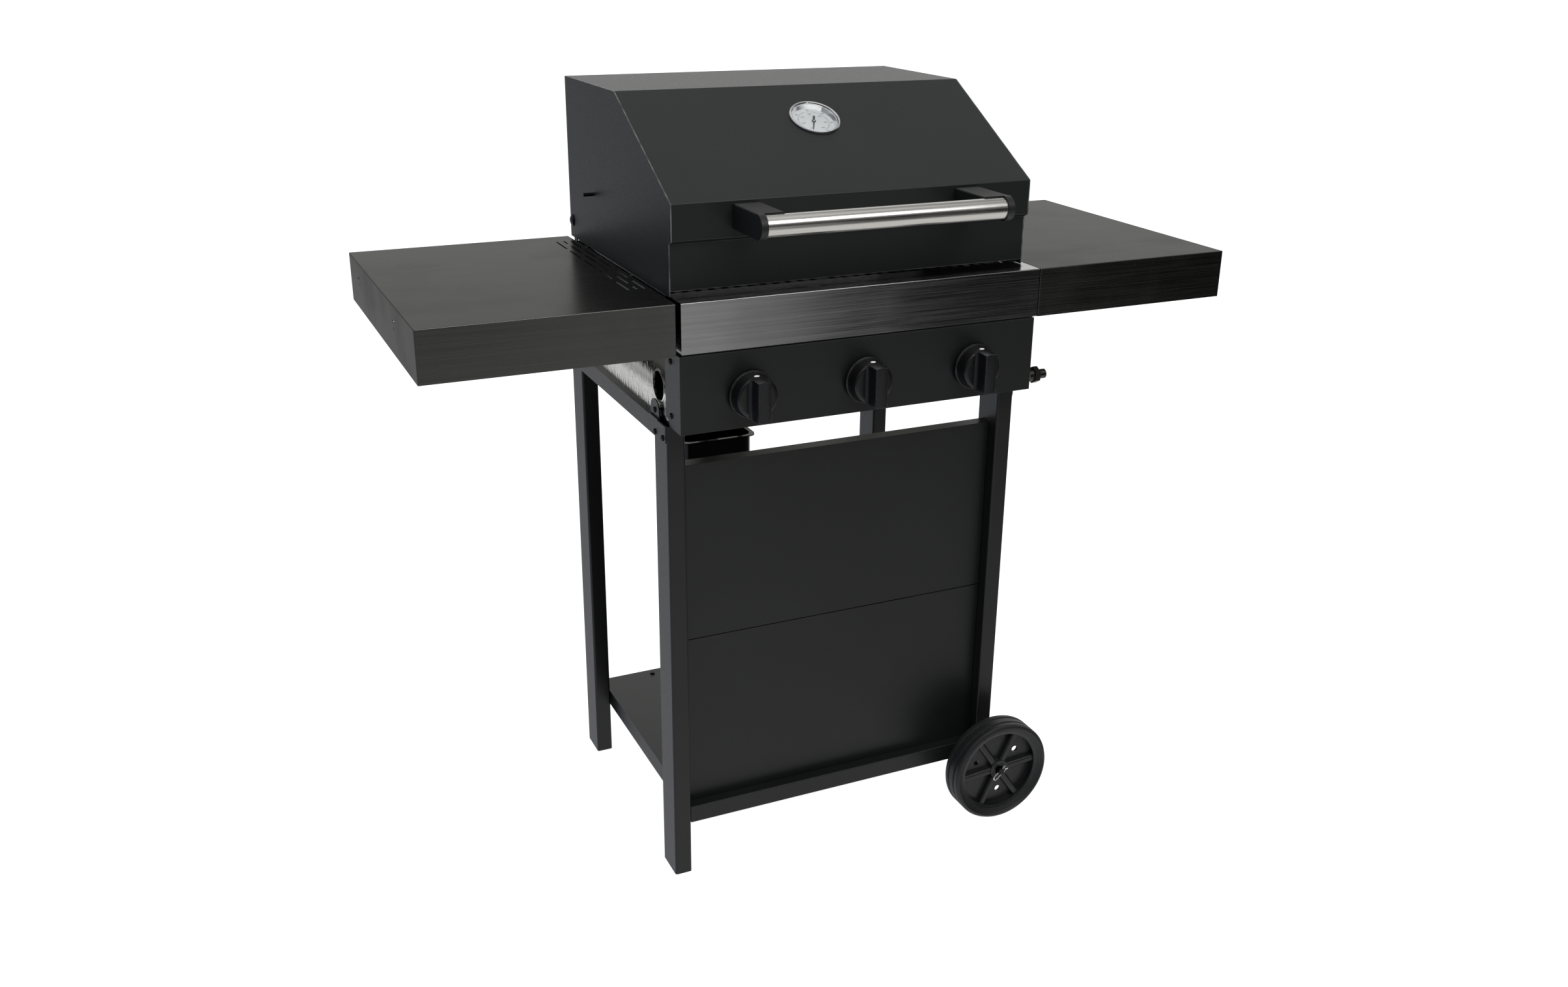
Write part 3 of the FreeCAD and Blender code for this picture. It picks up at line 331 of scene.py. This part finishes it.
zinc = plated_metal("zinc_plate", (0.62, 0.63, 0.65), (0.50, 0.50, 0.50), 0.26)
chrome = plated_metal("chrome_plate", (0.94, 0.94, 0.94), (0.86, 0.86, 0.87), 0.10, 40.0, 0.000002)
die_cast = plated_metal("die_cast_alloy", (0.50, 0.50, 0.50), (0.40, 0.40, 0.41), 0.48, 300.0)
nickel = plated_metal("dark_nickel", (0.10, 0.095, 0.09), (0.06, 0.058, 0.055), 0.30, 200.0)
black_zinc = plated_metal("black_zinc", (0.045, 0.045, 0.048), (0.03, 0.03, 0.03), 0.32, 300.0)
print("plated metals ready")

# %% [markdown]
# The firebox is aluminised steel: bright, faintly warm, with a spangle of small crystals that
# each shine a little differently. Voronoi cells give the crystals, noise the handling marks.
# The sheet is also lightly crinkled in short upright creases, which break up its reflections,
# and its side walls lean in towards the top, where they reflect the dark underside of the shelves.


# %% Aluminised sheet
DULL_FOIL, BRIGHT_FOIL = (0.80, 0.79, 0.72), (0.99, 0.98, 0.91)
UPRIGHT = (1.0, 1.0, 0.32)
WALL_LOW, WALL_HIGH = 0.70, 0.80         # heights between which the side walls lean in, in metres
WALL_INNER, WALL_OUTER = 0.2538, 0.2546  # how far out the side walls lie
LEAN_IN = 60.0                           # depth of the lean, in crease depths


def aluminised(name):
    """Spangled, creased sheet metal that leans in near the top of the side walls."""
    sheet = Finish(name, Metallic=1.0)
    cells = sheet.node("TexVoronoi", None, {"Vector": sheet.place, "Scale": 160.0}, "Color")
    crystal = sheet.node("SeparateColor", None, {0: cells})
    cloud = sheet.noise(14.0, 4.0)
    creases, ripple = sheet.noise(170.0, 3.0, UPRIGHT), sheet.noise(420.0, 2.0)
    across, height = [sheet.node("SeparateXYZ", None, {0: sheet.place}, output=i) for i in (0, 2)]
    side = sheet.spread(across * across, 0.0, 1.0, WALL_INNER ** 2, WALL_OUTER ** 2)
    dish = sheet.spread(height, 0.0, 1.0, WALL_LOW, WALL_HIGH) * side
    sheet.feed({
        "Base Color": sheet.tint(0.6 * crystal + 0.4 * cloud, DULL_FOIL, BRIGHT_FOIL),
        "Roughness": sheet.spread(crystal, 0.10, 0.20, 0.0, 1.0) + sheet.spread(cloud, 0.0, 0.08),
        "Normal": sheet.relief(creases + 0.25 * ripple - LEAN_IN * dish * dish, 0.0011),
    })
    return sheet.material


foil = aluminised("aluminised_sheet")


# %% [markdown]
# ## Plastic, rubber, enamel and iron
# What is left is not metal to the eye. Each has a base colour with a slow drift, a grain at
# its own scale, and a roughness that follows the grain, so one recipe serves them all.


# %% Moulded and coated finishes
def coated(name, colour, roughness, grain_scale, depth, specks=(0.0, 0.0, 0.0), edge_wear_and_highlight_lift=0.01,
           **constants):
    """Non-metal surface: drift in the colour, grain in the relief, edges painted paler as wear and
    a painted highlight.
    """
    coat = Finish(name, **constants)
    drift, grain = coat.noise(18.0, 3.0), coat.noise(grain_scale, 3.0)
    deep = tuple(0.75 * c for c in colour)
    body = coat.tint(coat.spread(drift, 0.0, 1.0), deep, colour)
    flecks = coat.spread(coat.noise(3.0 * grain_scale), 0.0, 0.5, 0.62, 0.72)
    # Edges are painted paler in patches: partly wear, partly a painted highlight.
    edge_wear_and_highlight_colour = tuple(1.4 * c + edge_wear_and_highlight_lift for c in colour)
    edge_wear_and_highlight = coat.edge(0.0012) * coat.spread(coat.noise(90.0), 0.2, 0.8)
    coat.feed({
        "Base Color": coat.tint(edge_wear_and_highlight, coat.tint(flecks, body, specks), edge_wear_and_highlight_colour),
        "Roughness": coat.spread(grain, roughness - 0.05, roughness + 0.08),
        "Normal": coat.relief(grain, depth),
    })
    return coat.material


GREY = (0.10, 0.10, 0.10)
# The knobs' large edge lift is mostly a painted highlight on the rims of the skirt and grip.
knob_plastic = coated("knob_plastic", (0.0095, 0.0095, 0.0098), 0.30, 900.0, 0.00003, GREY,
                      edge_wear_and_highlight_lift=0.16)
handle_plastic = coated("handle_plastic", (0.014, 0.014, 0.0135), 0.46, 1100.0, 0.00004, GREY)
plug_plastic = coated("plug_plastic", (0.012, 0.012, 0.012), 0.5, 700.0, 0.00004, GREY)
wheel_plastic = coated("wheel_plastic", (0.019, 0.020, 0.020), 0.36, 500.0, 0.0001, GREY, edge_wear_and_highlight_lift=0.08)
tyre_rubber = coated("tyre_rubber", (0.024, 0.025, 0.025), 0.50, 420.0, 0.00022, GREY, edge_wear_and_highlight_lift=0.05)
cast_iron = coated("cast_iron", (0.020, 0.020, 0.021), 0.55, 420.0, 0.00018, GREY)
tray_enamel = coated("tray_enamel", (0.008, 0.008, 0.009), 0.14, 60.0, 0.00006, (0.02, 0.02, 0.02))
ceramic = coated("ceramic", (0.80, 0.78, 0.72), 0.18, 90.0, 0.00003, (0.5, 0.47, 0.4))
# The dial glows faintly through its emission: a painted glow, not a lamp.
dial_enamel_painted_glow = coated("dial_enamel_painted_glow", (0.80, 0.82, 0.83), 0.32, 500.0, 0.000004, (0.7, 0.7, 0.7),
                     Emission_Color=(0.95, 0.98, 1.0), Emission_Strength=0.30)
print_ink = coated("dial_ink", (0.02, 0.02, 0.022), 0.5, 900.0, 0.000004)
pointer_paint = coated("pointer_paint", (0.018, 0.018, 0.019), 0.35, 700.0, 0.00001)
# The knob dots glow faintly through their emission: a painted glow, not a lamp.
dot_paint_painted_glow = coated("dot_paint_painted_glow", (0.88, 0.88, 0.87), 0.35, 800.0, 0.00001, (0.7, 0.7, 0.7),
                   Emission_Color=(1.0, 1.0, 0.98), Emission_Strength=0.45)


# %% Gauge glass
def gauge_glass_finish(name):
    """Clear glass with the faintest smears."""
    glass = Finish(name, Transmission_Weight=1.0, IOR=1.46)
    glass.feed({"Base Color": glass.tint(glass.noise(60.0), (0.97, 0.99, 0.99), (1.0, 1.0, 1.0)),
                "Roughness": glass.spread(glass.noise(35.0, 4.0), 0.0, 0.05, 0.5, 0.8)})
    return glass.material


gauge_glass = gauge_glass_finish("gauge_glass")

# %% [markdown]
# The record names a material slot for every CAD node, so finishes go on by slot. The hood,
# the panels and the frame share one slot but not one coat, so those are told apart by node.

# %% Finishes on the CAD nodes
finish_of_slot = {
    "powder_coat": panel_coat, "plug_plastic": plug_plastic, "tyre_rubber": tyre_rubber,
    "wheel_plastic": wheel_plastic, "zinc_steel": zinc, "aluminised_sheet": foil,
    "stainless": burner_metal, "cast_iron": cast_iron, "ceramic_white": ceramic,
    "black_enamel": tray_enamel, "gas_pipe": pipe_metal, "valve_alloy": die_cast,
    "inlet_brass": nickel, "knob_plastic": knob_plastic, "black_screw": black_zinc,
    "black_stainless": fascia_metal, "shelf_steel": shelf_metal, "handle_steel": tube_metal,
    "handle_plastic": handle_plastic, "chrome_wire": chrome, "bezel_chrome": chrome,
    "dial_white": dial_enamel_painted_glow, "pointer_black": pointer_paint, "gauge_glass": gauge_glass,
}
for part in frame["record"]["subparts"]:
    name = part["node"]
    finish = finish_of_slot[part["material_slot"]]
    if name.startswith("hood_s"):
        finish = hood_coat
    if name.endswith("_leg") or name.startswith("side_rail"):
        finish = frame_coat
    if name in ("wheel_axle", "rack_pins"):
        finish = black_zinc
    if name == "axle_clips":
        finish = chrome
    for place in nodes[name].material_slots:
        place.material = finish

# %% [markdown]
# ## Making pieces by hand
# The pieces below are modelled where they lie easiest, flat and centred, and then set in
# place. Most start as a disc that is pulled up and widened ring by ring, as a potter would, or
# as a block whose sides are trimmed by planes. One function fixes the place into the mesh,
# gives the finish, and hands the piece to the body it moves with.

# %% Helpers for pieces
MM = 0.001
fascia_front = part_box("fascia")[0].y


def deselect():
    bpy.ops.object.select_all(action="DESELECT")


def raised(steps, sides=96):
    """Round solid standing on local Z: a disc extruded and resized by (height, radius) in mm."""
    deselect()
    height, radius = steps[0]
    bpy.ops.mesh.primitive_circle_add(vertices=sides, radius=radius * MM, fill_type="NGON",
                                      location=(0, 0, height * MM))
    bpy.ops.object.mode_set(mode="EDIT")
    bpy.ops.mesh.select_all(action="SELECT")
    for higher, wider in steps[1:]:
        move = {"value": (0, 0, (higher - height) * MM)}
        bpy.ops.mesh.extrude_region_move(TRANSFORM_OT_translate=move)
        bpy.ops.transform.resize(value=(wider / radius, wider / radius, 1))
        height, radius = higher, wider
    bpy.ops.mesh.select_all(action="SELECT")
    bpy.ops.mesh.normals_make_consistent(inside=False)
    bpy.ops.object.mode_set(mode="OBJECT")
    bpy.ops.object.transform_apply(location=True)
    return bpy.context.object


def trimmed(piece, point, normal):
    """Cuts a solid by a plane given in mm, and closes the cut; the normal's side goes."""
    bpy.context.view_layer.objects.active = piece
    bpy.ops.object.mode_set(mode="EDIT")
    bpy.ops.mesh.select_all(action="SELECT")
    bpy.ops.mesh.bisect(plane_co=Vector(point) * MM, plane_no=normal, use_fill=True,
                        clear_outer=True)
    bpy.ops.object.mode_set(mode="OBJECT")


def block(size, place, bevel):
    """Box with softened edges; all in mm."""
    deselect()
    bpy.ops.mesh.primitive_cube_add(size=1.0, location=Vector(place) * MM, scale=Vector(size) * MM)
    piece = bpy.context.object
    bpy.ops.object.transform_apply(location=True, scale=True)
    bpy.ops.object.mode_set(mode="EDIT")
    bpy.ops.mesh.select_all(action="SELECT")
    bpy.ops.mesh.bevel(offset=bevel * MM, segments=3)
    bpy.ops.object.mode_set(mode="OBJECT")
    return piece


def joined(pieces):
    """Several pieces made one object."""
    deselect()
    for piece in pieces:
        piece.select_set(True)
    bpy.context.view_layer.objects.active = pieces[0]
    bpy.ops.object.join()
    return bpy.context.object


def settle(piece, name, finish, body, place=Matrix.Identity(4), angle=32):
    """Fixes the piece in place, with its finish and its body."""
    deselect()
    piece.select_set(True)
    bpy.context.view_layer.objects.active = piece
    piece.name = piece.data.name = name
    piece.matrix_world = place @ piece.matrix_world
    bpy.ops.object.transform_apply(location=True, rotation=True, scale=True)
    bpy.ops.object.shade_smooth_by_angle(angle=radians(angle))
    piece.data.materials.clear()
    piece.data.materials.append(finish)
    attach(piece, body)
    return piece


print("fascia front at", round(fascia_front, 4))

# %% [markdown]
# ## Knobs
# A knob is one moulding. The skirt has a rolled lip, a coved dish and a round drum, and a
# straight grip crosses the drum. Where the grip meets the drum's face the sides flare in a
# soft cove, as a mould has to leave room for the cutter. The pointer dot is a drop of paint.

# %% Knobs
SKIRT = [(7.6, 29.6), (7.9, 30.9), (8.6, 31.35), (9.3, 31.35), (9.9, 31.0), (10.15, 30.4),
         (9.9, 29.9), (10.4, 29.5), (13.0, 28.9), (15.0, 28.5), (26.0, 27.9), (27.4, 27.4),
         (28.2, 26.6), (28.6, 25.4), (28.75, 22.0), (28.6, 6.0)]
COVE = [(28.2, 14.0), (28.9, 12.2), (30.2, 10.8), (32.4, 9.7), (36.0, 9.2), (47.6, 8.9),
        (49.0, 8.6), (49.7, 8.0), (49.95, 7.1)]


def knob_grip():
    """Straight grip across the drum, coved at its foot and rounded at its ends."""
    deselect()
    depth, half = COVE[0]
    bpy.ops.mesh.primitive_plane_add(size=1.0, location=(0, 0, depth * MM),
                                     scale=(1.0, 1.0, 1.0))
    bpy.ops.object.mode_set(mode="EDIT")
    bpy.ops.mesh.select_all(action="SELECT")
    bpy.ops.transform.resize(value=(2 * half * MM, 60 * MM, 1))
    for deeper, narrower in COVE[1:]:
        move = {"value": (0, 0, (deeper - depth) * MM)}
        bpy.ops.mesh.extrude_region_move(TRANSFORM_OT_translate=move)
        bpy.ops.transform.resize(value=(narrower / half, 1, 1))
        depth, half = deeper, narrower
    bpy.ops.mesh.select_all(action="SELECT")
    bpy.ops.mesh.normals_make_consistent(inside=False)
    bpy.ops.object.mode_set(mode="OBJECT")
    bpy.ops.object.transform_apply(location=True)
    grip = bpy.context.object
    for degrees in range(-40, 41, 8):
        for side in (90, -90):
            turn = radians(side + degrees)
            normal = Vector((cos(turn), sin(turn), 0.05))
            trimmed(grip, normal * 28.1 + Vector((0, 0, 28)), normal)
    return grip


DOT_PLACE = Vector((0, 28.1, 23.5)) * MM    # on top of the drum, ahead of the skirt

knob_turns = {joint["child"]: joint for joint in frame["record"]["behaviour"]["joints"]
              if joint["name"].endswith("_turn") and joint["name"].startswith("knob")}
for body, joint in knob_turns.items():
    x, _, z = joint["pos_m"]
    face = Matrix.Translation((x, fascia_front, z)) @ Matrix.Rotation(pi / 2, 4, "X")
    whole = joined([raised(SKIRT), knob_grip()])
    settle(whole, body + "_moulding", knob_plastic, body, face, 28)
    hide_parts(body)
    dot = raised([(-0.6, 3.3), (0.2, 3.3), (0.4, 2.8)], 40)
    bpy.ops.transform.resize(value=(1.05, 0.75, 1.0))
    bpy.ops.object.transform_apply(scale=True)
    lay = Matrix.Translation(DOT_PLACE) @ Matrix.Rotation(-pi / 2, 4, "X")
    settle(dot, body + "_dot", dot_paint_painted_glow, body, face @ lay)
print("knobs:", sorted(knob_turns))

# %% [markdown]
# ## Thermometer
# The dished case and its glass are the CAD model's own. The dial at the bottom of the dish is
# printed: an arc of ticks between two rings of plain numbers, the outer one twice the inner.
# The pointer has a short thick tail, a tapering blade and a bright pin at its boss.

# %% The dial's place
needle = next(joint for joint in frame["record"]["behaviour"]["joints"]
              if joint["child"] == "thermometer_needle")
slope = atan2(needle["axis"][1], -needle["axis"][2])
dial_place = Matrix.Translation(needle["pos_m"]) @ Matrix.Rotation(slope, 4, "X")
print("dial slope:", round(slope * 180 / pi, 2))


# %% Dial print
FIRST_MARK, SWEEP = -150, 300    # bearings of the scale, in degrees from the top of the dial
PRINT_LEVEL = -5.38              # just above the dial's face, in mm


def word(text, radius, degrees, height):
    """A number set on the dial, its middle at a radius and a bearing."""
    deselect()
    turn = radians(degrees)
    place = Vector((radius * sin(turn), radius * cos(turn), PRINT_LEVEL)) * MM
    bpy.ops.object.text_add(location=place)
    label = bpy.context.object
    label.data.body = text
    label.data.size = height * MM
    label.data.align_x, label.data.align_y = "CENTER", "CENTER"
    label.data.extrude = 0.00003
    bpy.ops.object.convert(target="MESH")
    bpy.ops.object.transform_apply(location=True)
    return bpy.context.object


def tick(radius, degrees, length, width):
    """A short radial mark on the dial."""
    mark = block((width, length, 0.06), (0, radius, PRINT_LEVEL + 0.01), 0.012)
    bpy.ops.object.mode_set(mode="EDIT")
    bpy.ops.mesh.select_all(action="SELECT")
    bpy.ops.transform.rotate(value=radians(degrees), orient_axis="Z", center_override=(0, 0, 0))
    bpy.ops.object.mode_set(mode="OBJECT")
    return mark


marks = [tick(21.4, FIRST_MARK + SWEEP * i / 60, 2.6 if i % 5 == 0 else 1.6, 0.4)
         for i in range(61)]
marks += [word(str(100 + 100 * i), 25.3, FIRST_MARK + SWEEP * i / 6, 3.1) for i in range(7)]
marks += [word(str(50 + 50 * i), 16.4, FIRST_MARK + SWEEP * i / 6, 3.4) for i in range(7)]
settle(joined(marks), "dial_print", print_ink, "hood", dial_place)

# %% Pointer
COLD_BEARING = radians(-22.4)    # where the pointer rests, from straight down the slope
cold = dial_place @ Matrix.Rotation(COLD_BEARING, 4, "Z")
tail = block((2.9, 11.0, 0.6), (0, 6.6, -4.5), 0.15)
blade = block((2.2, 20.0, 0.5), (0, -10.0, -4.5), 0.12)
for side in (1, -1):
    trimmed(blade, (side * 0.45, -20, 0), (side, -0.035, 0))
boss = raised([(-4.9, 2.9), (-4.1, 2.9), (-4.0, 2.6)], 40)
whole = joined([tail, blade, boss])
settle(whole, "dial_pointer", pointer_paint, "thermometer_needle", cold)
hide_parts("thermometer_pointer")
pin = raised([(-4.0, 1.6), (-3.7, 1.6), (-3.6, 1.3)], 32)
settle(pin, "dial_pointer_pin", chrome, "thermometer_needle", cold)
print("thermometer pieces ready")

# %% [markdown]
# ## Gas inlet
# The short pipe end behind the control panel is cut with a coarse thread for the hose's nut.
# Each thread turn is raised as a ring with sloping flanks, which reads as a thread at this size.

# %% Inlet thread
inlet_low, inlet_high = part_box("gas_inlet")
ROOT, CREST, PITCH = 6.0, 6.7, 1.7    # thread radii and pitch, in mm
THREAD_END = 12.2 * MM                # from the thread's start to the inlet's end
turns = [(0.0, ROOT)]
for i in range(7):
    start = 0.3 + PITCH * i
    turns += [(start, ROOT), (start + 0.55, CREST), (start + 0.85, CREST), (start + 1.4, ROOT)]
thread = raised(turns, 48)
middle = (inlet_low + inlet_high) * 0.5
inlet_place = Matrix.Translation((inlet_high.x - THREAD_END, middle.y, middle.z))
inlet_place = inlet_place @ Matrix.Rotation(pi / 2, 4, "Y")
settle(thread, "inlet_thread", nickel, "cart", inlet_place)
print("inlet thread rings:", len(turns))
